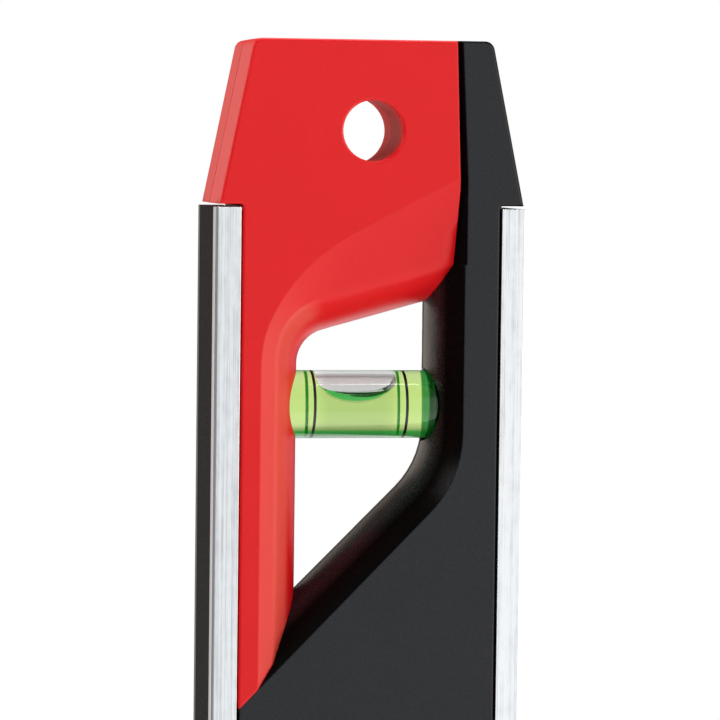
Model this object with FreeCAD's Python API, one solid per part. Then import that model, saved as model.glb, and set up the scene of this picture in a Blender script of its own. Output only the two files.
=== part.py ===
import FreeCAD
import Part
import math
import os

V = FreeCAD.Vector

# Overall size. The level stands on its lower end: Z runs along its length, X across it from
# the magnetic edge to the plain edge, and Y through its thickness, with the front at -Y.
length = 250.0
width = 50.0
thickness = 20.0

# Tapered ends of the plastic body
end_length = 26.0
end_top_width = 38.6
end_inset = 0.4
end_corner_radius = 1.6
draft_angle = 1.3
edge_radius = 0.4
shoulder_radius = 0.4

# Aluminium channels along the two measuring edges
rail_gap = 0.5
rail_depth = 4.1
rail_flange = 1.0
plain_rail_web = 1.6
magnetic_rail_web = 2.4
rail_corner_radius = 0.55
flange_gap = 0.25
fit_clearance = 0.1

# Magnetic strip, sunk into the magnetic rail
strip_width = 15.0
strip_recess = 1.0
strip_sink = 0.05

# Hanging hole, measured down from the upper end
hole_radius = 4.8
rear_hole_radius = 5.4
hole_drop = 14.3
hole_rounding = 0.4

# Curved walls of the windows: they meet the joint plane squarely and lean out to the face
bow_power = 1.9
bow_sections = 6

# Black wall of the plumb window, as (at its edge on the face, at its ridge on the joint plane)
black_wall_x = (15.0, 10.3)
black_corner_drop = (69.45, 67.2)
black_corner_radius = (18.0, 14.0)
black_diagonal_slope = (45.6, 45.0)

# Beside the red edge the black wall stands back by a step, and leans in towards the upper end
black_step = 0.3
black_step_drop = 35.4
black_lean = 0.049
black_lean_drop = 22.0

# Red edge that stands over the black wall at the upper end, as (x, drop below the upper end)
red_edge_line = [(13.3, 0.0), (14.1, 23.5), (13.45, 35.4)]

# Red wall of the plumb window: its ridge on the joint plane, and how far it leans out
red_ridge_x = -10.4
red_ridge_corner_drop = 47.3
red_ridge_slope = 15.6
red_ridge_radius = 5.5
red_wall_side = 5.6
red_wall_upper = 7.6
red_wall_reach = 9.5

# Low line of the red bevel, inside the curved wall: its depth and its distances from the ridge
red_bevel_depth = 2.3
red_bevel_side = 1.1
red_bevel_upper = 2.0

# Outer line of the red bevel, as (x, drop below the upper end); it ends in a straight run
swoosh_line = [(14.1, 21.6), (4.0, 26.8), (-3.2, 30.7)]
swoosh_bend = [(-3.2, 30.7), (-11.4, 37.2), (-16.2, 44.6), (-17.55, 53.0)]

# Window of the level vial, at mid length
level_wall_width = 4.5
level_window_width = 21.0
level_window_length = 21.0
level_window_radius = 4.0

# Vials
vial_radius = 5.45
vial_length = 30.4
vial_wall = 1.1
vial_closed_end = 1.5
vial_plug_length = 3.0
vial_barrel_rise = 0.2
vial_clearance = 0.05
vial_relief_gap = 0.45
vial_relief_x = 12.3
liquid_gap = 0.04
plumb_drop = 58.1
plumb_centre_x = -0.6
ring_spacing = 14.9
ring_width = 0.42
ring_depth = 0.12
bubble_length = 13.0
bubble_depth = 4.2
bubble_end_gap = 3.0

# Tongues of the plastic body inside the channels: how far they run on into its core
tongue_root = 1.0

# Locating pins between the halves. In the tapered end they stand this far off its middle and off
# the shoulder, beside the plumb vial this far below it, and lower down at shares of the length.
pin_radius = 1.5
pin_length = 4.0
pin_clearance = 0.1
pin_root = 1.0
end_pin_shift = 3.0
red_pin_drop = 22.0
black_pin_drop = 27.0
low_pin_shares = (0.36, 0.24, 0.1)

half_width = width / 2.0
half_thickness = thickness / 2.0
face_y = -half_thickness
shoulder_z = length - end_length
rail_low_z = end_length + rail_gap
rail_high_z = shoulder_z - rail_gap
plumb_z = length - plumb_drop
hole_z = length - hole_drop
core_half_width = half_width - rail_depth - flange_gap
tongue_half_thickness = half_thickness - rail_flange - fit_clearance
far = 2.0 * width


def at(x, z, y):
    return V(x, y, z)


def drop_point(point, y):
    return at(point[0], length - point[1], y)


def line(a, b):
    return Part.LineSegment(a, b).toShape()


def box(x0, x1, y0, y1, z0, z1):
    return Part.makeBox(x1 - x0, y1 - y0, z1 - z0, V(x0, y0, z0))


def prism(points, y0, y1):
    wire = Part.makePolygon([at(x, z, y0) for x, z in points + points[:1]])
    return Part.Face(wire).extrude(V(0.0, y1 - y0, 0.0))


def rounded_corner(before, corner, after, radius, y):
    """Edges of a corner rounded by an arc: the points where it starts and ends, and the arc."""
    a, c, b = at(*before, y), at(*corner, y), at(*after, y)
    u = (a - c).normalize()
    w = (b - c).normalize()
    half = u.getAngle(w) / 2.0
    reach = radius / math.tan(half)
    middle = (u + w).normalize()
    centre = c + middle * (radius / math.sin(half))
    start = c + u * reach
    end = c + w * reach
    through = centre - middle * radius
    return start, Part.Arc(start, through, end).toShape(), end


def taper_outline(inset, y):
    """Upper end at depth y, before its corners are rounded: it runs on past the end."""
    low = half_width - end_inset - inset
    lean = (half_width - end_inset - end_top_width / 2.0) / end_length
    reach = 2.0 * end_length
    high = low - lean * reach
    high_z = shoulder_z + reach
    points = [(-low, shoulder_z), (low, shoulder_z), (high, high_z), (-high, high_z)]
    return Part.makePolygon([at(x, z, y) for x, z in points + points[:1]])


def upper_end():
    """Upper end of the front half: drafted flanks, cut off square, with rounded corners."""
    inset = half_thickness * math.tan(math.radians(draft_angle))
    block = Part.makeLoft([taper_outline(inset, face_y), taper_outline(0.0, 0.0)], True, True)
    block = block.cut(box(-far, far, -far, far, length, length + far))
    corners = []
    for edge in block.Edges:
        along_y = abs(edge.tangentAt(edge.FirstParameter).y) > 0.9
        if along_y and abs(edge.CenterOfMass.z - length) < 1e-6:
            corners.append(edge)
    return block.makeFillet(end_corner_radius, corners)


def front_blank():
    """Front half of the whole plastic body, from the face to the joint plane at y = 0."""
    upper = upper_end()
    lower = upper.mirror(V(0.0, 0.0, length / 2.0), V(0.0, 0.0, 1.0))
    core = box(-core_half_width, core_half_width, face_y, 0.0, end_length, shoulder_z)
    body = upper.fuse([lower, core]).removeSplitter()
    inner_corners = []
    for edge in body.Edges:
        middle = edge.CenterOfMass
        at_side = abs(abs(middle.x) - core_half_width) < 1e-6
        at_shoulder = min(abs(middle.z - shoulder_z), abs(middle.z - end_length)) < 1e-6
        if at_side and at_shoulder and abs(edge.tangentAt(edge.FirstParameter).y) > 0.9:
            inner_corners.append(edge)
    body = body.makeFillet(shoulder_radius, inner_corners)
    face = [f for f in body.Faces if abs(f.CenterOfMass.y - face_y) < 1e-6][0]
    body = body.makeFillet(edge_radius, face.OuterWire.Edges)
    tongue_z0 = rail_low_z + fit_clearance
    tongue_z1 = rail_high_z - fit_clearance
    left = box(-half_width + magnetic_rail_web, -core_half_width + tongue_root,
               -tongue_half_thickness, 0.0, tongue_z0, tongue_z1)
    right = box(core_half_width - tongue_root, half_width - plain_rail_web,
                -tongue_half_thickness, 0.0, tongue_z0, tongue_z1)
    return body.fuse([left, right]).removeSplitter()


def bow_steps(reach):
    """Sections of a curved wall from reach to the joint plane: share of its width, and depth."""
    steps = []
    for i in range(bow_sections):
        depth = reach * (1.0 - i / (bow_sections - 1.0))
        steps.append(((depth / half_thickness) ** bow_power, -depth))
    return steps


def black_line(share, y):
    """Region on the window side of the black wall; share is 1 at its face edge, 0 at its ridge."""
    x, corner_drop, radius, slope = [
        ridge + share * (edge - ridge) for edge, ridge in (
            black_wall_x, black_corner_drop, black_corner_radius, black_diagonal_slope)]
    corner_z = length - corner_drop
    low_x = x - far
    low_z = corner_z - far * math.tan(math.radians(slope))
    start, arc, end = rounded_corner((x, length), (x, corner_z), (low_x, low_z), radius, y)
    step_x, step_z = x + black_step, length - black_step_drop
    lean_z, high_z = length - black_lean_drop, length + far
    high_x = step_x - black_lean * (high_z - lean_z)
    before = [at(high_x, high_z, y), at(step_x, lean_z, y), at(step_x, step_z, y)]
    before += [at(x, step_z, y), start]
    after = [end, at(low_x, low_z, y), at(low_x, high_z, y), before[0]]
    edges = [line(a, b) for a, b in zip(before, before[1:])] + [arc]
    edges += [line(a, b) for a, b in zip(after, after[1:])]
    return Part.Wire(edges)


def window_side():
    """Everything on the window side of the black wall, in the front half."""
    wires = [black_line(share, y) for share, y in bow_steps(half_thickness)]
    return Part.makeLoft(wires, True, False)


def ridge_line(side, upper, y):
    """Red window edge, set out from the ridge by side and upper: upper edge, bend, side edge."""
    slope = math.tan(math.radians(red_ridge_slope))
    x = red_ridge_x - side
    corner_z = length - red_ridge_corner_drop + upper / math.cos(math.radians(red_ridge_slope))
    corner_z -= side * slope
    right_x = half_width
    right_z = corner_z + (right_x - x) * slope
    low_z = length / 2.0
    radius = red_ridge_radius + (side + upper) / 2.0
    start, arc, end = rounded_corner((right_x, right_z), (x, corner_z), (x, low_z), radius, y)
    return [line(at(right_x, right_z, y), start), arc, line(end, at(x, low_z, y))]


def swoosh_outline(y):
    """Outer line of the red bevel at depth y, with the same three edges as the ridge line."""
    first, second = [drop_point(p, y) for p in swoosh_line[:2]]
    along = (first - second).normalize()
    outside = first + along * (half_width - first.x) * (1.0 / along.x)
    last = drop_point(swoosh_line[-1], y)
    upper = Part.BSplineCurve()
    upper.interpolate([outside, first, second, last])
    bend_points = [drop_point(p, y) for p in swoosh_bend]
    leave = upper.tangent(upper.LastParameter)[0]
    bend = Part.BSplineCurve()
    bend.interpolate(Points=bend_points, InitialTangent=leave, FinalTangent=V(0.0, 0.0, -1.0))
    side_x = swoosh_bend[-1][0]
    return [upper.toShape(), bend.toShape(), line(bend_points[-1], at(side_x, length / 2.0, y))]


def close_right(edges, y):
    """Closes an open window line along the right and lower sides."""
    start = edges[0].Vertexes[0].Point
    end = edges[-1].Vertexes[-1].Point
    corner = V(start.x, y, end.z)
    return Part.Wire(edges + [line(end, corner), line(corner, start)])


def red_bevel():
    """Cut of the shallow bevel, from its outer line on the face inwards."""
    low_y = face_y + red_bevel_depth
    outer = close_right(swoosh_outline(face_y), face_y)
    inner = close_right(ridge_line(red_bevel_side, red_bevel_upper, low_y), low_y)
    return Part.makeLoft([outer, inner], True, True)


def red_wall():
    """Cut of the curved wall, up to just below the bevel."""
    wires = []
    for share, y in bow_steps(red_wall_reach):
        line_at = ridge_line(share * red_wall_side, share * red_wall_upper, y)
        wires.append(close_right(line_at, y))
    return Part.makeLoft(wires, True, False)


def red_limit():
    """Everything left of the red edge that stands over the black wall."""
    top, middle, low = [(x, length - drop) for x, drop in red_edge_line]
    lean = (middle[0] - top[0]) / (top[1] - middle[1])
    points = [(top[0] - lean * far, top[1] + far), middle, low, (low[0], -far)]
    points += [(-far, -far), (-far, length + far)]
    return prism(points, face_y, 0.0)


def level_outline(offset, y):
    """Rounded rectangle of the level vial's window, offset outwards from its ridge."""
    half_x = level_window_width / 2.0 + offset
    half_z = level_window_length / 2.0 + offset
    middle = length / 2.0
    radius = level_window_radius + offset
    corners = [(half_x, middle + half_z), (-half_x, middle + half_z)]
    corners += [(-half_x, middle - half_z), (half_x, middle - half_z)]
    edges = []
    pieces = []
    for i, corner in enumerate(corners):
        pieces.append(rounded_corner(corners[i - 1], corner, corners[(i + 1) % 4], radius, y))
    for i, (start, arc, end) in enumerate(pieces):
        edges += [arc, line(end, pieces[(i + 1) % 4][0])]
    return Part.Wire(edges)


def level_window():
    wires = [level_outline(share * level_wall_width, y) for share, y in bow_steps(half_thickness)]
    return Part.makeLoft(wires, True, False)


def hole_cut(radius):
    """Hanging hole through a front half, with a rounded rim at the face."""
    cut = Part.makeCylinder(radius, 2.0 * thickness, V(0.0, -thickness, hole_z), V(0, 1, 0))
    rim = Part.makeCylinder(radius + hole_rounding, hole_rounding,
                            V(0.0, face_y, hole_z), V(0, 1, 0))
    ring = Part.makeTorus(radius + hole_rounding, hole_rounding,
                          V(0.0, face_y + hole_rounding, hole_z), V(0, 1, 0))
    return cut.fuse(rim.cut(ring))


def pin_places():
    """Places of the locating pins, as (x, z), for the red and the black body."""
    strip_x = (red_ridge_x - core_half_width) / 2.0
    edge_x = (black_wall_x[0] + core_half_width) / 2.0
    head_z = shoulder_z + end_length / 2.0
    inner_x = end_top_width / 4.0
    red = [(-inner_x - end_pin_shift, head_z), (inner_x / 2.0, shoulder_z - end_pin_shift)]
    red += [(strip_x, plumb_z - red_pin_drop)]
    black = [(edge_x, head_z - end_pin_shift), (edge_x, plumb_z - black_pin_drop)]
    black += [(sign * inner_x, length * share) for share in low_pin_shares for sign in (-1, 1)]
    return red, black


def pins(places, radius, reach, start_y):
    made = [Part.makeCylinder(radius, reach, V(x, start_y, z), V(0, -1, 0)) for x, z in places]
    return made[0].fuse(made[1:])


def vial_pocket(axis_x, centre):
    """Room for one vial: a cylinder along X, or along Z where axis_x is False."""
    reach = vial_length / 2.0 + vial_clearance
    radius = vial_radius + vial_clearance
    direction = V(1, 0, 0) if axis_x else V(0, 0, 1)
    return Part.makeCylinder(radius, 2.0 * reach, centre - direction * reach, direction)


def vial_relief():
    """Narrow gap round the plumb vial where it enters the black body."""
    reach = vial_relief_x - plumb_centre_x
    return Part.makeCylinder(vial_radius + vial_relief_gap, reach,
                             V(plumb_centre_x, 0.0, plumb_z), V(1, 0, 0))


def body_halves():
    """The four plastic pieces. The rear halves mirror the front ones; they carry the pins."""
    blank = front_blank()
    nose = window_side()
    plumb = vial_pocket(True, V(plumb_centre_x, 0.0, plumb_z))
    level = vial_pocket(False, V(0.0, 0.0, length / 2.0))
    black = blank.cut(nose).cut(level_window())
    black = black.cut(plumb).cut(vial_relief()).cut(level)
    red = blank.common(nose).common(red_limit()).cut(red_bevel()).cut(red_wall())
    red = red.cut(plumb)
    red_halves = red.cut(hole_cut(hole_radius)), red.cut(hole_cut(rear_hole_radius))
    pieces = {}
    halves = red_halves, (black, black)
    for name, (half, other), places in zip(("red", "black"), halves, pin_places()):
        rear = other.mirror(V(0, 0, 0), V(0, 1, 0))
        socket = pins(places, pin_radius + pin_clearance, pin_length + pin_clearance, 0.0)
        pin = pins(places, pin_radius, pin_length + pin_root, pin_root)
        pieces[name + "_front_half"] = half.cut(socket)
        pieces[name + "_rear_half"] = rear.fuse(pin)
    return pieces


def rail(web, recess):
    """Channel on the +X edge, open towards the body; recess is cut into its outer face."""
    outer = half_width
    inner = half_width - rail_depth
    points = [(inner, -half_thickness), (outer, -half_thickness)]
    if recess:
        points += [(outer, -strip_width / 2.0), (outer - recess, -strip_width / 2.0)]
        points += [(outer - recess, strip_width / 2.0), (outer, strip_width / 2.0)]
    inside = half_thickness - rail_flange
    points += [(outer, half_thickness), (inner, half_thickness), (inner, inside)]
    points += [(outer - web, inside), (outer - web, -inside), (inner, -inside)]
    wire = Part.makePolygon([V(x, y, rail_low_z) for x, y in points + points[:1]])
    channel = Part.Face(wire).extrude(V(0.0, 0.0, rail_high_z - rail_low_z))
    corners = []
    for edge in channel.Edges:
        point = edge.CenterOfMass
        upright = abs(edge.tangentAt(edge.FirstParameter).z) > 0.99
        if upright and abs(point.x - outer) < 1e-6 and abs(abs(point.y) - half_thickness) < 1e-6:
            corners.append(edge)
    return channel.makeFillet(rail_corner_radius, corners)


def magnet_strip():
    half = strip_width / 2.0 - strip_sink
    outer = -half_width + strip_sink
    inner = -half_width + strip_recess
    return box(outer, inner, -half, half, rail_low_z, rail_high_z)


def along_x(start_x, end_x, radius):
    return Part.makeCylinder(radius, end_x - start_x, V(start_x, 0, 0), V(1, 0, 0))


def barrel(gap):
    """Barrel-shaped bore between the closed end and the plug, smaller all round by gap."""
    closed_x = -vial_length / 2.0 + vial_closed_end + gap
    plug_x = vial_length / 2.0 - vial_plug_length - gap
    middle_radius = vial_radius - vial_wall - gap
    end_radius = middle_radius - vial_barrel_rise
    low, high = V(closed_x, 0, end_radius), V(plug_x, 0, end_radius)
    arc = Part.Arc(low, V((closed_x + plug_x) / 2.0, 0, middle_radius), high).toShape()
    low_end, high_end = V(closed_x, 0, 0), V(plug_x, 0, 0)
    edges = [line(low_end, low), arc, line(high, high_end), line(high_end, low_end)]
    return Part.Face(Part.Wire(edges)).revolve(V(0, 0, 0), V(1, 0, 0), 360.0)


def ring_at(x):
    outer = along_x(x - ring_width / 2.0, x + ring_width / 2.0, vial_radius)
    inner = along_x(x - ring_width, x + ring_width, vial_radius - ring_depth)
    return outer.cut(inner)


def side_bubble():
    """Air bubble of a vial that lies level: a bow over the full width, at the top of the bore."""
    half = bubble_length / 2.0
    top_z = vial_radius - vial_wall
    high_z = 2.0 * vial_radius
    left, right = V(-half, -vial_radius, top_z), V(half, -vial_radius, top_z)
    high_left, high_right = V(-half, -vial_radius, high_z), V(half, -vial_radius, high_z)
    bow = Part.Arc(left, V(0.0, -vial_radius, top_z - bubble_depth), right).toShape()
    edges = [bow, line(right, high_right), line(high_right, high_left), line(high_left, left)]
    return Part.Face(Part.Wire(edges)).extrude(V(0.0, 2.0 * vial_radius, 0.0))


def vial(prefix, lies_level):
    """One vial about the X axis at the origin: body, liquid, plug and two ring marks."""
    end_x = vial_length / 2.0
    plug_x = end_x - vial_plug_length
    plug = along_x(plug_x, end_x, vial_radius - vial_wall - vial_barrel_rise)
    rings = [ring_at(sign * ring_spacing / 2.0) for sign in (-1, 1)]
    body = along_x(-end_x, end_x, vial_radius)
    body = body.cut(barrel(0.0)).cut(plug).cut(rings[0]).cut(rings[1])
    if lies_level:
        air = side_bubble()
    else:
        air = box(plug_x - bubble_end_gap, plug_x, -vial_radius, vial_radius,
                  -vial_radius, vial_radius)
    return {
        prefix + "_vial_body": body,
        prefix + "_vial_liquid": barrel(liquid_gap).cut(air),
        prefix + "_vial_plug": plug,
        prefix + "_vial_ring_1": rings[0],
        prefix + "_vial_ring_2": rings[1],
    }


def placed(shapes, centre, upright):
    """Moves a vial to its place; an upright one is turned so that +X becomes +Z."""
    moved = {}
    for name, shape in shapes.items():
        shape = shape.copy()
        if upright:
            shape.rotate(V(0, 0, 0), V(0, 1, 0), -90.0)
        shape.translate(centre)
        moved[name] = shape
    return moved


def build():
    pieces = body_halves()
    pieces["plain_rail"] = rail(plain_rail_web, 0.0)
    mirrored = rail(magnetic_rail_web, strip_recess).mirror(V(0, 0, 0), V(1, 0, 0))
    pieces["magnetic_rail"] = mirrored
    pieces["magnet_strip"] = magnet_strip()
    pieces.update(placed(vial("plumb", True), V(plumb_centre_x, 0, plumb_z), False))
    pieces.update(placed(vial("level", False), V(0, 0, length / 2.0), True))
    return pieces


os.makedirs("parts", exist_ok=True)
for name, shape in build().items():
    shape.exportStep("parts/" + name + ".step")
    print("%-18s solids %d valid %s volume %.1f" % (
        name, len(shape.Solids), shape.isValid(), shape.Volume))
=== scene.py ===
import math

import bmesh
import bpy
from mathutils import Matrix, Vector


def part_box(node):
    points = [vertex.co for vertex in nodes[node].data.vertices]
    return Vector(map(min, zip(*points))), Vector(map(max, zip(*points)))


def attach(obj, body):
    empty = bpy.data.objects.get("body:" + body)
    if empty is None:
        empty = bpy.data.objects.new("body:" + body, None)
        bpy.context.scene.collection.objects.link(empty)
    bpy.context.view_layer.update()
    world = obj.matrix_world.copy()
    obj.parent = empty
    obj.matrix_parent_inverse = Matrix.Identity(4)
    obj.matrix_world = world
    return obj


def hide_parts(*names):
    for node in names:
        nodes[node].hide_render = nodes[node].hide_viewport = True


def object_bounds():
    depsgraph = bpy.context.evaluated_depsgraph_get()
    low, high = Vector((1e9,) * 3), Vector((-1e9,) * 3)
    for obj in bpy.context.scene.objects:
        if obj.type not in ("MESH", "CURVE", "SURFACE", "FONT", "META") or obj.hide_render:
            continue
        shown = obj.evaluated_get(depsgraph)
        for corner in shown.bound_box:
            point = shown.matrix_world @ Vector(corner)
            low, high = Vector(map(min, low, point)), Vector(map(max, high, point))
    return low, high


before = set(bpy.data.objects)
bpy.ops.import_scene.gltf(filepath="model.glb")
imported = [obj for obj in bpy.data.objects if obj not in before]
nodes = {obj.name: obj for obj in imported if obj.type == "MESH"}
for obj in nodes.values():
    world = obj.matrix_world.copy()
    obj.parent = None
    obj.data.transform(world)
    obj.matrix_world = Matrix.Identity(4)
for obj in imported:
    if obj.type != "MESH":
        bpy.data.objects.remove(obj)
cad_low, cad_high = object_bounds()

MM = 0.001

# Camera, in the part's frame: it looks along the thickness from the front left
CAMERA_PLACE = Vector((-109.8, -600.0, 234.88)) * MM
CAMERA_TURN = math.radians(10.376)
CAMERA_DIP = math.radians(3.368)
CAMERA_ROLL = math.radians(0.699)
CAMERA_LENS = 190.5

# Vials
VIAL_LENGTH = 30.4 * MM
VIAL_RADIUS = 5.45 * MM
BORE_RADIUS = 4.35 * MM
BORE_RISE = 0.2 * MM
BORE_CLOSED_END = 1.5 * MM
PLUG_LENGTH = 3.0 * MM
RING_WIDTH = 0.42 * MM
RING_DEPTH = 0.12 * MM
GROOVE_SPARE = 0.02 * MM
VIAL_EDGE = 0.35 * MM
BUBBLE_LENGTH = 13.0 * MM
BUBBLE_DEPTH = 4.15 * MM
BUBBLE_SHIFT = -0.35 * MM
BISECTION_STEPS = 40
BUBBLE_POWER = 2.3
END_BUBBLE_DEPTH = 3.0 * MM
MENISCUS_RISE = 1.1 * MM
LIQUID_SPARE = 0.02 * MM
WELD_DISTANCE = 0.002 * MM

# Colours of the vials: the underside is painted light, a green tint between two heights for the
# green light the spirit bends into it; the plug end is painted shade, a dark green from X on
ACRYLIC_IOR = 1.47
CLEAR_MIDDLE = (0.80, 0.80, 0.80)
CLEAR_END = (1.0, 1.0, 0.97)
GREEN_GLOW_BELOW = (0.02, 0.66, 0.13)
GREEN_HEIGHTS = (-3.5 * MM, -4.2 * MM)
SHADE_END_TONE = (0.002, 0.07, 0.018)
SHADE_END_PLACE = 10.9 * MM
SHADE_END_BLEND = 0.2 * MM
LIQUID_COLOUR = (0.74, 0.92, 0.10)
LIQUID_DENSITY = 165.0
LIQUID_GLOW = (0.10, 1.0, 0.20)
LIQUID_GLOW_STRENGTH = 8.0
RING_INSIDE_GLOW = (0.03, 0.75, 0.22)
RING_OUTSIDE = (0.004, 0.004, 0.004)

# Plastic body: depths are measured from mid thickness, where its halves meet
SEAM_HALF_WIDTH = 0.3 * MM
CREASE_DEPTHS = (6.3 * MM, 8.0 * MM, 8.9 * MM, 9.1 * MM)
EDGE_ROUNDING = 0.35 * MM
FACE_DEPTH = 10.0 * MM
HOLE_HEIGHT = 235.7 * MM
HOLE_REACH = 5.7 * MM
HOLE_EDGE_DEPTHS = (9.9 * MM, 9.5 * MM)
MATT_SHARE = 0.12
# The red slope tone is painted sheen: a paler red on the slopes of the red window that face right,
# where light catches them.
RED_SLOPE_DEPTHS = (5.4 * MM, 6.6 * MM)
RED_SLOPE_CREASE = (9.0 * MM, 9.2 * MM)
RED_SLOPE_OUTER_SHARE = 0.6
RED_SLOPE_TURN = (0.22, 0.42)
RED_SLOPE_SHEEN = (0.72, 0.07, 0.052)
# The black slope tone is painted shade: near-black on the slopes round the windows.
BLACK_SLOPE_DEPTHS = (4.8 * MM, 7.0 * MM)
BLACK_SLOPE_SHADE = (0.0016, 0.0019, 0.0018)

# Rails: the lips beside the magnetic strip start at X and carry painted shade; the rear one is
# painted dark.
LIP_PLACES = (-24.7 * MM, -24.95 * MM)
REAR_LIP_PLACES = (0.0, 5.0 * MM)
LIP_SHADE = (0.60, 0.635, 0.69)
REAR_LIP_SHADE = (0.05, 0.05, 0.052)


def centre_of(node):
    low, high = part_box(node)
    return (low + high) / 2.0


# Shader helpers

def new_material(name):
    material = bpy.data.materials.new(name)
    material.use_nodes = True
    tree = material.node_tree
    tree.nodes.clear()
    return material, tree


def add(tree, kind):
    return tree.nodes.new(kind)


def principled(tree, **values):
    shader = add(tree, "ShaderNodeBsdfPrincipled")
    for key, value in values.items():
        shader.inputs[key.replace("_", " ")].default_value = value
    output = add(tree, "ShaderNodeOutputMaterial")
    tree.links.new(shader.outputs[0], output.inputs["Surface"])
    return shader, output


def noise(tree, coords, scale, stretch=(1.0, 1.0, 1.0), detail=2.0, roughness=0.5):
    mapping = add(tree, "ShaderNodeMapping")
    mapping.inputs["Scale"].default_value = stretch
    tree.links.new(coords, mapping.inputs["Vector"])
    texture = add(tree, "ShaderNodeTexNoise")
    texture.inputs["Scale"].default_value = scale
    texture.inputs["Detail"].default_value = detail
    texture.inputs["Roughness"].default_value = roughness
    tree.links.new(mapping.outputs[0], texture.inputs["Vector"])
    return texture.outputs["Fac"]


def ramp(tree, factor, stops):
    node = add(tree, "ShaderNodeValToRGB")
    elements = node.color_ramp.elements
    while len(elements) < len(stops):
        elements.new(0.5)
    for element, (position, colour) in zip(elements, stops):
        element.position = position
        element.color = (*colour, 1.0)
    tree.links.new(factor, node.inputs[0])
    return node.outputs[0]


def map_range(tree, value, low, high, to_low=0.0, to_high=1.0, smooth=False):
    node = add(tree, "ShaderNodeMapRange")
    if smooth:
        node.interpolation_type = "SMOOTHSTEP"
    for key, number in zip(("From Min", "From Max", "To Min", "To Max"),
                           (low, high, to_low, to_high)):
        node.inputs[key].default_value = number
    tree.links.new(value, node.inputs["Value"])
    return node.outputs[0]


def math_node(tree, operation, first, second=None):
    node = add(tree, "ShaderNodeMath")
    node.operation = operation
    for socket, value in zip(node.inputs, (first, second)):
        if value is None:
            continue
        if isinstance(value, float):
            socket.default_value = value
        else:
            tree.links.new(value, socket)
    return node.outputs[0]


def mixed_colour(tree, factor, first, second):
    node = add(tree, "ShaderNodeMix")
    node.data_type = "RGBA"
    tree.links.new(factor, node.inputs[0])
    for socket, value in ((node.inputs[6], first), (node.inputs[7], second)):
        if isinstance(value, tuple):
            socket.default_value = (*value, 1.0)
        else:
            tree.links.new(value, socket)
    return node.outputs[2]


def object_coords(tree):
    return add(tree, "ShaderNodeTexCoord").outputs["Object"]


def rounded_bump(tree, shader, height, strength, distance, edge):
    """Fine relief over rounded edges; edge is a radius, or a socket that gives one."""
    bevel = add(tree, "ShaderNodeBevel")
    bevel.samples = 8
    if isinstance(edge, float):
        bevel.inputs["Radius"].default_value = edge
    else:
        tree.links.new(edge, bevel.inputs["Radius"])
    bump = add(tree, "ShaderNodeBump")
    bump.inputs["Strength"].default_value = strength
    bump.inputs["Distance"].default_value = distance
    tree.links.new(height, bump.inputs["Height"])
    tree.links.new(bevel.outputs[0], bump.inputs["Normal"])
    tree.links.new(bump.outputs[0], shader.inputs["Normal"])


# Materials

def window_band(tree, depth, inner, full):
    """1 on the slopes that lead from the faces into the windows, 0 on the faces."""
    return math_node(tree, "MULTIPLY", map_range(tree, depth, inner, full),
                     map_range(tree, depth, FACE_DEPTH - 0.01 * MM, FACE_DEPTH - 0.05 * MM))


def hole_wall(tree, parts, depth):
    """1 in the hanging hole, 0 on the faces round it."""
    rise = math_node(tree, "SUBTRACT", parts.outputs["Z"], HOLE_HEIGHT)
    squares = math_node(tree, "ADD", math_node(tree, "MULTIPLY", rise, rise),
                        math_node(tree, "MULTIPLY", parts.outputs["X"], parts.outputs["X"]))
    near = map_range(tree, math_node(tree, "SQRT", squares), HOLE_REACH, 0.98 * HOLE_REACH)
    return math_node(tree, "MULTIPLY", near, map_range(tree, depth, *HOLE_EDGE_DEPTHS))


def slope_sheen_share(tree, depth):
    """Share of the painted sheen: a paler red painted on the slopes of the red window that turn to
    the right, where light catches them.
    """
    facing = add(tree, "ShaderNodeSeparateXYZ")
    tree.links.new(add(tree, "ShaderNodeTexCoord").outputs["Normal"], facing.inputs[0])
    turned = map_range(tree, facing.outputs["X"], *RED_SLOPE_TURN)
    outer = map_range(tree, depth, *RED_SLOPE_CREASE, 1.0, RED_SLOPE_OUTER_SHARE)
    return math_node(tree, "MULTIPLY", math_node(tree, "MULTIPLY", turned, outer),
                     window_band(tree, depth, *RED_SLOPE_DEPTHS))


def red_finish(tree, parts, depth, tone):
    """Painted sheen on the slopes beside the window, as a paler red, and a dull wall in the hanging
    hole.
    """
    tone = mixed_colour(tree, slope_sheen_share(tree, depth), tone, RED_SLOPE_SHEEN)
    return tone, hole_wall(tree, parts, depth)


def black_finish(tree, _, depth, tone):
    """Painted shade: darker, duller slopes round the windows."""
    matt = window_band(tree, depth, *BLACK_SLOPE_DEPTHS)
    return mixed_colour(tree, matt, tone, BLACK_SLOPE_SHADE), matt


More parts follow.
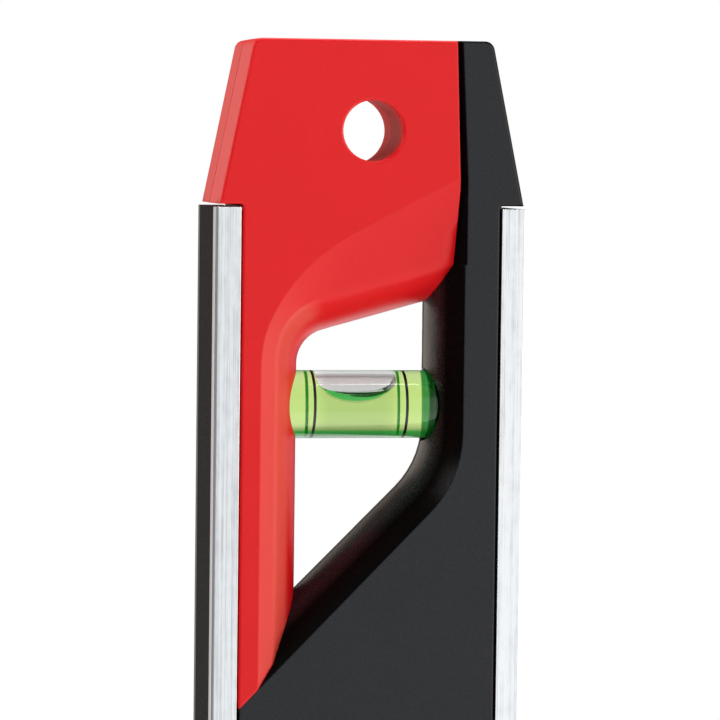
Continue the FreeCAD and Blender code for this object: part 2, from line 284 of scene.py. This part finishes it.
def plastic(name, finish, dark, light, seam, roughness, specular, grain_size, grain_height, crease):
    """Moulded plastic with a fine grain, and painted shade along the join of its two halves: a
    darker, duller line for the shade in their shut line.
    """
    material, tree = new_material(name)
    shader, _ = principled(tree, IOR=1.5)
    coords = object_coords(tree)
    grain = noise(tree, coords, 1.0 / grain_size, detail=3.0)
    cloud = noise(tree, coords, 120.0, detail=2.0)
    mixed = math_node(tree, "ADD", math_node(tree, "MULTIPLY", grain, 0.7),
                      math_node(tree, "MULTIPLY", cloud, 0.3))
    tone = ramp(tree, mixed, [(0.3, dark), (0.7, light)])
    parts = add(tree, "ShaderNodeSeparateXYZ")
    tree.links.new(coords, parts.inputs[0])
    depth = math_node(tree, "ABSOLUTE", parts.outputs["Y"])
    tone, matt = finish(tree, parts, depth, tone)
    shine = map_range(tree, matt, 0.0, 1.0, specular, MATT_SHARE * specular)
    tree.links.new(shine, shader.inputs["Specular IOR Level"])
    # Painted shade: a darker line along the join of the halves, for the shade in their shut line;
    # it is also made duller.
    on_seam = map_range(tree, depth, SEAM_HALF_WIDTH, 0.6 * SEAM_HALF_WIDTH)
    tree.links.new(mixed_colour(tree, on_seam, tone, seam), shader.inputs["Base Color"])
    gloss = map_range(tree, grain, 0.3, 0.7, roughness - 0.05, roughness + 0.05)
    dull = math_node(tree, "MAXIMUM", gloss, math_node(tree, "MULTIPLY", on_seam, 0.9))
    tree.links.new(dull, shader.inputs["Roughness"])
    inner, full, last, outer = CREASE_DEPTHS
    in_crease = math_node(tree, "MULTIPLY", map_range(tree, depth, inner, full),
                          map_range(tree, depth, outer, last))
    softness = map_range(tree, in_crease, 0.0, 1.0, EDGE_ROUNDING, crease)
    rounded_bump(tree, shader, grain, 0.35, grain_height, softness)
    return material


def aluminium(name):
    """Milled aluminium with fine lines along its length."""
    material, tree = new_material(name)
    shader, _ = principled(tree, Metallic=1.0)
    coords = object_coords(tree)
    lines = noise(tree, coords, 1.0, stretch=(9000.0, 9000.0, 60.0), detail=2.0, roughness=0.6)
    bands = noise(tree, coords, 1.0, stretch=(2600.0, 2600.0, 9.0), detail=2.0)
    smudge = noise(tree, coords, 900.0, stretch=(1.0, 1.0, 0.35), detail=4.0)
    mixed = math_node(tree, "ADD", math_node(tree, "MULTIPLY", lines, 0.35),
                      math_node(tree, "MULTIPLY", bands, 0.45))
    mixed = math_node(tree, "ADD", mixed, math_node(tree, "MULTIPLY", smudge, 0.2))
    tone = ramp(tree, mixed, [(0.38, (0.60, 0.605, 0.615)), (0.54, (0.93, 0.935, 0.945))])
    parts = add(tree, "ShaderNodeSeparateXYZ")
    tree.links.new(coords, parts.inputs[0])
    # Painted shade: the lips on the rail's outer face take a darker, cooler grey, and the rear lip
    # a near-black.
    lip = map_range(tree, parts.outputs["X"], *LIP_PLACES)
    tone = mixed_colour(tree, lip, tone, LIP_SHADE)
    at_rear = map_range(tree, parts.outputs["Y"], *REAR_LIP_PLACES)
    rear_lip = math_node(tree, "MULTIPLY", lip, at_rear)
    tone = mixed_colour(tree, rear_lip, tone, REAR_LIP_SHADE)
    tree.links.new(tone, shader.inputs["Base Color"])
    tree.links.new(map_range(tree, mixed, 0.35, 0.65, 0.40, 0.26), shader.inputs["Roughness"])
    rounded_bump(tree, shader, lines, 0.25, 0.01 * MM, 0.12 * MM)
    return material


def magnet(name):
    """Ferrite-filled strip: dark, dull and speckled."""
    material, tree = new_material(name)
    shader, _ = principled(tree)
    shader.inputs["Specular IOR Level"].default_value = 0.1
    coords = object_coords(tree)
    speckle = noise(tree, coords, 3800.0, detail=4.0, roughness=0.7)
    tone = ramp(tree, speckle, [(0.38, (0.003, 0.002, 0.003)), (0.5, (0.008, 0.006, 0.007)),
                                (0.66, (0.04, 0.032, 0.034))])
    tree.links.new(tone, shader.inputs["Base Color"])
    tree.links.new(map_range(tree, speckle, 0.3, 0.7, 1.0, 0.85), shader.inputs["Roughness"])
    rounded_bump(tree, shader, speckle, 0.5, 0.02 * MM, 0.1 * MM)
    return material


def clear_acrylic(name, glow_below):
    """Polished acrylic, clearest at the ends; the underside carries a painted green glow and the
    plug end painted shade in deep green.
    """
    material, tree = new_material(name)
    shader, _ = principled(tree, IOR=ACRYLIC_IOR, Roughness=0.0, Transmission_Weight=1.0)
    parts = add(tree, "ShaderNodeSeparateXYZ")
    tree.links.new(object_coords(tree), parts.inputs[0])
    along = parts.outputs["X"]
    at_end = map_range(tree, math_node(tree, "ABSOLUTE", along), 0.75 * BUBBLE_LENGTH / 2.0,
                       1.1 * BUBBLE_LENGTH / 2.0, smooth=True)
    tint = mixed_colour(tree, at_end, CLEAR_MIDDLE, CLEAR_END)
    if glow_below:
        # Painted light: the underside is tinted green, for the green light the spirit bends into
        # it.
        low = map_range(tree, parts.outputs["Z"], *GREEN_HEIGHTS, smooth=True)
        tint = mixed_colour(tree, low, tint, GREEN_GLOW_BELOW)
    # Painted shade: past this place the acrylic is tinted a dark green, the plug's green in shade.
    past = map_range(tree, along, SHADE_END_PLACE, SHADE_END_PLACE + SHADE_END_BLEND)
    tint = mixed_colour(tree, past, tint, SHADE_END_TONE)
    tree.links.new(tint, shader.inputs["Base Color"])
    return material


def vial_plug(name):
    """Plug of the vial's bore: deep green plastic."""
    material, tree = new_material(name)
    shader, _ = principled(tree, Roughness=0.3)
    speck = noise(tree, object_coords(tree), 900.0)
    tone = ramp(tree, speck, [(0.3, (0.008, 0.14, 0.035)), (0.7, (0.014, 0.20, 0.05))])
    tree.links.new(tone, shader.inputs["Base Color"])
    return material


def tinted_liquid(name):
    """Light yellow-green spirit: it has no surface of its own where it wets the acrylic."""
    material, tree = new_material(name)
    shader, output = principled(tree, IOR=1.0, Roughness=0.0, Transmission_Weight=1.0)
    absorb = add(tree, "ShaderNodeVolumeAbsorption")
    absorb.inputs["Color"].default_value = (*LIQUID_COLOUR, 1.0)
    absorb.inputs["Density"].default_value = LIQUID_DENSITY
    glow = add(tree, "ShaderNodeEmission")
    glow.inputs["Color"].default_value = (*LIQUID_GLOW, 1.0)
    glow.inputs["Strength"].default_value = LIQUID_GLOW_STRENGTH
    both = add(tree, "ShaderNodeAddShader")
    tree.links.new(absorb.outputs[0], both.inputs[0])
    tree.links.new(glow.outputs[0], both.inputs[1])
    tree.links.new(both.outputs[0], output.inputs["Volume"])
    return material


def ring_paint(name, node, axis):
    """Ring mark: black outside; its inner side, seen through the vial, is painted bright green,
    painted light for the green its back half shows through the liquid.
    """
    material, tree = new_material(name)
    shader, _ = principled(tree, Roughness=0.35)
    centre = centre_of(node)
    shift = add(tree, "ShaderNodeVectorMath")
    shift.operation = "SUBTRACT"
    shift.inputs[1].default_value = centre
    tree.links.new(object_coords(tree), shift.inputs[0])
    flat = add(tree, "ShaderNodeVectorMath")
    flat.operation = "MULTIPLY"
    flat.inputs[1].default_value = Vector((1.0, 1.0, 1.0)) - axis
    tree.links.new(shift.outputs[0], flat.inputs[0])
    size = add(tree, "ShaderNodeVectorMath")
    size.operation = "LENGTH"
    tree.links.new(flat.outputs[0], size.inputs[0])
    inner = VIAL_RADIUS - RING_DEPTH
    outside = map_range(tree, size.outputs["Value"], inner + 0.02 * MM, inner + 0.06 * MM)
    # Painted light: the inner side is bright green, the outer side black.
    tone = ramp(tree, outside, [(0.0, RING_INSIDE_GLOW), (1.0, RING_OUTSIDE)])
    tree.links.new(tone, shader.inputs["Base Color"])
    return material


# Mesh helpers

def mesh_object(name, vertices, faces, material, sharp_angle=30.0):
    mesh = bpy.data.meshes.new(name)
    mesh.from_pydata([tuple(v) for v in vertices], [], faces)
    editing = bmesh.new()
    editing.from_mesh(mesh)
    bmesh.ops.recalc_face_normals(editing, faces=editing.faces)
    editing.to_mesh(mesh)
    editing.free()
    mesh.polygons.foreach_set("use_smooth", [True] * len(mesh.polygons))
    mesh.set_sharp_from_angle(angle=math.radians(sharp_angle))
    mesh.materials.append(material)
    piece = bpy.data.objects.new(name, mesh)
    bpy.context.scene.collection.objects.link(piece)
    return piece


def revolved(profile, segments, start=0):
    """Closed surface of revolution about +X; profile is a list of (x, radius)."""
    vertices = []
    rows = []
    for x, radius in profile:
        if radius == 0.0:
            rows.append([start + len(vertices)])
            vertices.append(Vector((x, 0.0, 0.0)))
            continue
        row = []
        for i in range(segments):
            angle = 2.0 * math.pi * i / segments
            row.append(start + len(vertices))
            vertices.append(Vector((x, radius * math.sin(angle), radius * math.cos(angle))))
        rows.append(row)
    return vertices, joined_rows(rows)


def joined_rows(rows):
    """Quads between neighbouring closed rows, and triangles where a row is one point."""
    faces = []
    for first, second in zip(rows, rows[1:]):
        count = max(len(first), len(second))
        for i in range(count):
            j = (i + 1) % count
            if len(first) == 1:
                faces.append((first[0], second[j], second[i]))
            elif len(second) == 1:
                faces.append((first[i], first[j], second[0]))
            else:
                faces.append((first[i], first[j], second[j], second[i]))
    return faces


def body_profile(ring_places):
    """Outer profile of the vial, from one end's centre to the other's, with ring grooves."""
    half = VIAL_LENGTH / 2.0
    floor = VIAL_RADIUS - RING_DEPTH - GROOVE_SPARE
    reach = RING_WIDTH / 2.0 + GROOVE_SPARE
    profile = [(-half, 0.0), (-half, VIAL_RADIUS - VIAL_EDGE)]
    profile += [(-half + 0.3 * VIAL_EDGE, VIAL_RADIUS - 0.3 * VIAL_EDGE)]
    profile += [(-half + VIAL_EDGE, VIAL_RADIUS)]
    for x in ring_places:
        profile += [(x - reach, VIAL_RADIUS), (x - reach, floor)]
        profile += [(x + reach, floor), (x + reach, VIAL_RADIUS)]
    mirrored = [(-x, radius) for x, radius in profile[:4]]
    return profile + mirrored[::-1]


def bore_radius(x):
    return BORE_RADIUS - BORE_RISE * (x / (VIAL_LENGTH / 2.0)) ** 2


def side_bubble(grow, rows=72, around=56):
    """Bubble at the top of a vial that lies along X: full against the bore, rounded below."""
    vertices = []
    index_rows = []
    half = BUBBLE_LENGTH / 2.0
    for i in range(rows + 1):
        u = math.sin(math.pi * (i / rows - 0.5))
        x = u * (half + grow) + BUBBLE_SHIFT
        top = bore_radius(x) + grow
        share = (1.0 - abs(u) ** BUBBLE_POWER) ** (1.0 / BUBBLE_POWER)
        depth = (BUBBLE_DEPTH + 2.0 * grow) * share
        if i in (0, rows):
            index_rows.append([len(vertices)])
            vertices.append(Vector((x, 0.0, top)))
            continue

        def low_at(y):
            v = min(abs(y) / (1.02 * top), 1.0)
            return top - depth * (1.0 - v ** BUBBLE_POWER) ** (1.0 / BUBBLE_POWER)

        def high_at(y):
            return math.sqrt(max(top * top - y * y, 0.0))

        near, far = 0.0, top
        for _ in range(BISECTION_STEPS):
            middle = (near + far) / 2.0
            if low_at(middle) < high_at(middle):
                near = middle
            else:
                far = middle
        row = []
        for k in range(around):
            y = near * math.cos(2.0 * math.pi * k / around)
            z = low_at(y) if 0 < k < around / 2 else high_at(y)
            row.append(len(vertices))
            vertices.append(Vector((x, y, z)))
        index_rows.append(row)
    return vertices, joined_rows(index_rows)


def end_bubble(grow, segments=96):
    """Bubble at the plug end of a vial that stands upright, with a curved meniscus."""
    top = VIAL_LENGTH / 2.0 - PLUG_LENGTH + grow
    low = VIAL_LENGTH / 2.0 - PLUG_LENGTH - END_BUBBLE_DEPTH - grow
    radius = BORE_RADIUS - BORE_RISE + grow
    profile = [(low, 0.0)]
    steps = 14
    for i in range(1, steps + 1):
        r = radius * i / steps
        profile.append((low + MENISCUS_RISE * (r / radius) ** 3.0, r))
    profile += [(top, radius), (top, 0.0)]
    return revolved(profile, segments)


def barrel_profile():
    """Bore of the vial between its closed end and the plug."""
    low = -VIAL_LENGTH / 2.0 + BORE_CLOSED_END
    high = VIAL_LENGTH / 2.0 - PLUG_LENGTH
    steps = 24
    profile = [(low, 0.0)]
    for i in range(steps + 1):
        x = low + (high - low) * i / steps
        profile.append((x, bore_radius(x)))
    return profile + [(high, 0.0)]


def keep_largest(mesh):
    """Deletes every island of a mesh but the one with the most faces."""
    editing = bmesh.new()
    editing.from_mesh(mesh)
    bmesh.ops.remove_doubles(editing, verts=editing.verts, dist=WELD_DISTANCE)
    bmesh.ops.dissolve_degenerate(editing, edges=editing.edges, dist=WELD_DISTANCE)
    waiting = set(editing.verts)
    islands = []
    while waiting:
        found = {waiting.pop()}
        border = list(found)
        while border:
            vertex = border.pop()
            for edge in vertex.link_edges:
                other = edge.other_vert(vertex)
                if other in waiting:
                    waiting.remove(other)
                    found.add(other)
                    border.append(other)
        islands.append(found)
    islands.sort(key=len)
    loose = [vertex for island in islands[:-1] for vertex in island]
    bmesh.ops.delete(editing, geom=loose, context="VERTS")
    editing.to_mesh(mesh)
    editing.free()


def cut_by(piece, cutter):
    modifier = piece.modifiers.new("cut", "BOOLEAN")
    modifier.operation = "DIFFERENCE"
    modifier.solver = "EXACT"
    modifier.object = cutter
    graph = bpy.context.evaluated_depsgraph_get()
    result = bpy.data.meshes.new_from_object(piece.evaluated_get(graph))
    piece.modifiers.remove(modifier)
    keep_largest(result)
    old = piece.data
    piece.data = result
    bpy.data.meshes.remove(old)
    bpy.data.objects.remove(cutter)


def flipped(faces):
    return [tuple(reversed(face)) for face in faces]


def vial(prefix, upright, acrylic, liquid, plug):
    """Clear body with its bubble as a hollow, and the tinted liquid inside it."""
    centre = centre_of(prefix + "_vial_body")
    turn = Matrix.Rotation(-math.pi / 2.0, 4, "Y") if upright else Matrix.Identity(4)
    place = Matrix.Translation(centre) @ turn
    back = place.inverted()
    rings = sorted((back @ centre_of(prefix + "_vial_ring_%d" % n)).x for n in (1, 2))
    bubble = end_bubble if upright else side_bubble

    outer, outer_faces = revolved(body_profile(rings), 128)
    hollow, hollow_faces = bubble(0.0)
    shifted = [tuple(i + len(outer) for i in face) for face in hollow_faces]
    body = bpy.data.meshes.new(prefix + "_vial_clear")
    body.from_pydata([tuple(v) for v in outer + hollow], [], flipped(outer_faces) + shifted)
    body.polygons.foreach_set("use_smooth", [True] * len(body.polygons))
    body.set_sharp_from_angle(angle=math.radians(30.0))
    body.materials.append(acrylic)
    clear = bpy.data.objects.new(prefix + "_vial_clear", body)
    bpy.context.scene.collection.objects.link(clear)

    barrel = mesh_object(prefix + "_vial_fill", *revolved(barrel_profile(), 96), liquid)
    cutter = mesh_object("cutter", *bubble(LIQUID_SPARE), liquid)
    cut_by(barrel, cutter)

    for piece, replaced, slot in (
            (clear, "body", "vial_acrylic"), (barrel, "liquid", "vial_liquid")):
        piece.matrix_world = place
        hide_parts(prefix + "_vial_" + replaced)
        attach(piece, "root")
    dress(prefix + "_vial_plug", plug)
    for n in (1, 2):
        ring = prefix + "_vial_ring_%d" % n
        axis = Vector((0.0, 0.0, 1.0)) if upright else Vector((1.0, 0.0, 0.0))
        dress(ring, ring_paint(ring, ring, axis))


def dress(node, material):
    mesh = nodes[node].data
    mesh.materials.clear()
    mesh.materials.append(material)


# Studio

def lamp(name, place, target, width, height, radiance):
    """Soft box: an area light of the given size and brightness, aimed at the target."""
    data = bpy.data.lights.new(name, "AREA")
    data.shape = "RECTANGLE"
    data.size = width
    data.size_y = height
    data.energy = radiance * math.pi * width * height
    lamp_object = bpy.data.objects.new(name, data)
    bpy.context.scene.collection.objects.link(lamp_object)
    lamp_object.location = place
    direction = Vector(target) - Vector(place)
    lamp_object.rotation_euler = direction.to_track_quat("-Z", "Y").to_euler()
    lamp_object.visible_camera = False
    lamp_object.visible_transmission = False


# Studio brightness by azimuth in degrees, with its tint: 0 in front, positive to the right
PLAIN = (1.0, 1.0, 1.0)
WARM = (1.0, 0.88, 0.78)
COOL = (0.93, 1.0, 1.05)
AROUND = [(-180, 0.25, WARM), (-173, 0.20, WARM), (-165, 0.75, WARM), (-155, 1.30, WARM),
          (-128, 1.4, WARM), (-118, 0.5, PLAIN), (-108, 0.10, PLAIN), (-17, 0.12, PLAIN),
          (-3, 0.66, COOL), (6, 0.80, COOL), (14, 0.96, COOL), (28, 1.3, PLAIN),
          (38, 2.7, WARM), (112, 2.7, WARM), (126, 1.2, PLAIN), (145, 0.15, PLAIN),
          (166, 0.25, PLAIN), (180, 0.25, WARM)]
AROUND_PEAK = 3.0

# Brightness by height, from 0 straight below to 1 straight above: reflected, and seen through glass
LIT_HEIGHTS = [(0.0, 1.0), (0.66, 1.0), (0.76, 0.2), (1.0, 0.2)]
CLEAR_HEIGHTS = [(0.0, 0.9), (0.2, 1.0), (0.66, 1.0), (0.76, 0.55), (0.95, 0.2)]
FLOOR_GLOW = 1.8
FLOOR_GLOW_HEIGHTS = (-0.24, -0.55)

# Floor: its reach, the distances between which it fades out, and its tone
FLOOR_REACH = 3.0
FLOOR_FADE = (0.16, 0.55)
FLOOR_TONE = 0.86

LAMP_TARGET = (0.0, 0.0, 0.17)


def greys(stops):
    return [(position, (level, level, level)) for position, level in stops]


def studio_world():
    """Soft boxes round the level, and a white backdrop for what is seen directly."""
    world = bpy.data.worlds.new("studio")
    bpy.context.scene.world = world
    world.use_nodes = True
    tree = world.node_tree
    tree.nodes.clear()
    path = add(tree, "ShaderNodeLightPath")
    direction = add(tree, "ShaderNodeTexCoord").outputs["Generated"]
    parts = add(tree, "ShaderNodeSeparateXYZ")
    tree.links.new(direction, parts.inputs[0])
    ahead = math_node(tree, "MULTIPLY", parts.outputs["Y"], -1.0)
    azimuth = math_node(tree, "ARCTAN2", parts.outputs["X"], ahead)
    share = map_range(tree, azimuth, -math.pi, math.pi)
    stops = []
    for angle, level, tint in AROUND:
        colour = tuple(level / AROUND_PEAK * part for part in tint)
        stops.append(((angle + 180.0) / 360.0, colour))
    around = ramp(tree, share, stops)
    below = map_range(tree, parts.outputs["Z"], *FLOOR_GLOW_HEIGHTS, smooth=True)
    around = mixed_colour(tree, below, around, (FLOOR_GLOW / AROUND_PEAK,) * 3)
    rise = map_range(tree, parts.outputs["Z"], -1.0, 1.0)
    lit_height = ramp(tree, rise, greys(LIT_HEIGHTS))
    lit = math_node(tree, "MULTIPLY", lit_height, AROUND_PEAK)
    clear_height = ramp(tree, rise, greys(CLEAR_HEIGHTS))
    colour = mixed_colour(tree, path.outputs["Is Transmission Ray"], around, clear_height)
    colour = mixed_colour(tree, path.outputs["Is Camera Ray"], colour, PLAIN)
    direct = math_node(tree, "MAXIMUM", path.outputs["Is Camera Ray"],
                       path.outputs["Is Transmission Ray"])
    level = add(tree, "ShaderNodeMix")
    level.data_type = "FLOAT"
    tree.links.new(direct, level.inputs[0])
    tree.links.new(lit, level.inputs[2])
    level.inputs[3].default_value = 1.0
    background = add(tree, "ShaderNodeBackground")
    tree.links.new(colour, background.inputs["Color"])
    tree.links.new(level.outputs[0], background.inputs["Strength"])
    output = add(tree, "ShaderNodeOutputWorld")
    tree.links.new(background.outputs[0], output.inputs["Surface"])


def studio_floor():
    """Pale floor that keeps the shadow near the level and fades into the backdrop."""
    material, tree = new_material("pale_floor")
    path = add(tree, "ShaderNodeLightPath")
    coords = object_coords(tree)
    size = add(tree, "ShaderNodeVectorMath")
    size.operation = "LENGTH"
    tree.links.new(coords, size.inputs[0])
    far = map_range(tree, size.outputs["Value"], *FLOOR_FADE, smooth=True)
    diffuse = add(tree, "ShaderNodeBsdfDiffuse")
    diffuse.inputs["Color"].default_value = (FLOOR_TONE, FLOOR_TONE, FLOOR_TONE, 1.0)
    clear = add(tree, "ShaderNodeBsdfTransparent")
    fade = add(tree, "ShaderNodeMixShader")
    tree.links.new(far, fade.inputs[0])
    tree.links.new(diffuse.outputs[0], fade.inputs[1])
    tree.links.new(clear.outputs[0], fade.inputs[2])
    through = math_node(tree, "MAXIMUM", path.outputs["Is Transmission Ray"],
                        path.outputs["Is Glossy Ray"])
    choose = add(tree, "ShaderNodeMixShader")
    tree.links.new(through, choose.inputs[0])
    tree.links.new(fade.outputs[0], choose.inputs[1])
    tree.links.new(clear.outputs[0], choose.inputs[2])
    output = add(tree, "ShaderNodeOutputMaterial")
    tree.links.new(choose.outputs[0], output.inputs["Surface"])
    mesh = bpy.data.meshes.new("floor")
    reach = FLOOR_REACH
    corners = [(x * reach, y * reach, 0.0) for x, y in ((-1, -1), (1, -1), (1, 1), (-1, 1))]
    mesh.from_pydata(corners, [], [(0, 1, 2, 3)])
    mesh.materials.append(material)
    floor = bpy.data.objects.new("floor", mesh)
    bpy.context.scene.collection.objects.link(floor)
    floor.location.z = cad_low.z


def studio_lamps():
    lamp("overhead", (0.0, 0.0, 2.0), LAMP_TARGET, 1.1, 1.1, 9.0)
    lamp("left_fill", (-1.34, -0.20, 0.85), LAMP_TARGET, 0.6, 0.5, 9.5)


def camera():
    forward = Vector((math.sin(CAMERA_TURN) * math.cos(CAMERA_DIP),
                      math.cos(CAMERA_TURN) * math.cos(CAMERA_DIP), -math.sin(CAMERA_DIP)))
    right = Vector((math.cos(CAMERA_TURN), -math.sin(CAMERA_TURN), 0.0))
    up = right.cross(forward)
    side = right * math.cos(CAMERA_ROLL) + up * math.sin(CAMERA_ROLL)
    top = up * math.cos(CAMERA_ROLL) - right * math.sin(CAMERA_ROLL)
    data = bpy.data.cameras.new("camera")
    data.lens = CAMERA_LENS
    data.sensor_width = 36.0
    data.clip_start = 0.01
    data.clip_end = 20.0
    camera_object = bpy.data.objects.new("camera", data)
    bpy.context.scene.collection.objects.link(camera_object)
    turn = Matrix((side, top, -forward)).transposed().to_4x4()
    camera_object.matrix_world = Matrix.Translation(CAMERA_PLACE) @ turn
    bpy.context.scene.camera = camera_object


def dress_bodies():
    red = plastic("red_plastic", red_finish, dark=(0.69, 0.004, 0.006),
                  light=(0.76, 0.007, 0.010), seam=(0.45, 0.003, 0.004), roughness=0.36,
                  specular=0.30, grain_size=0.3 * MM, grain_height=0.03 * MM, crease=3.0 * MM)
    black = plastic("black_plastic", black_finish, dark=(0.010, 0.0108, 0.013),
                    light=(0.014, 0.0150, 0.018), seam=(0.002, 0.002, 0.002), roughness=0.27,
                    specular=0.32, grain_size=0.35 * MM, grain_height=0.04 * MM,
                    crease=EDGE_ROUNDING)
    for node in ("red_front_half", "red_rear_half"):
        dress(node, red)
    for node in ("black_front_half", "black_rear_half"):
        dress(node, black)
    metal = aluminium("rail_aluminium")
    dress("plain_rail", metal)
    dress("magnetic_rail", metal)
    dress("magnet_strip", magnet("magnet"))


bpy.context.scene.view_settings.view_transform = "Standard"
camera()
studio_world()
studio_floor()
studio_lamps()
dress_bodies()
liquid = tinted_liquid("vial_liquid")
plug = vial_plug("vial_plug")
vial("plumb", False, clear_acrylic("vial_acrylic", True), liquid, plug)
vial("level", True, clear_acrylic("upright_vial_acrylic", False), liquid, plug)
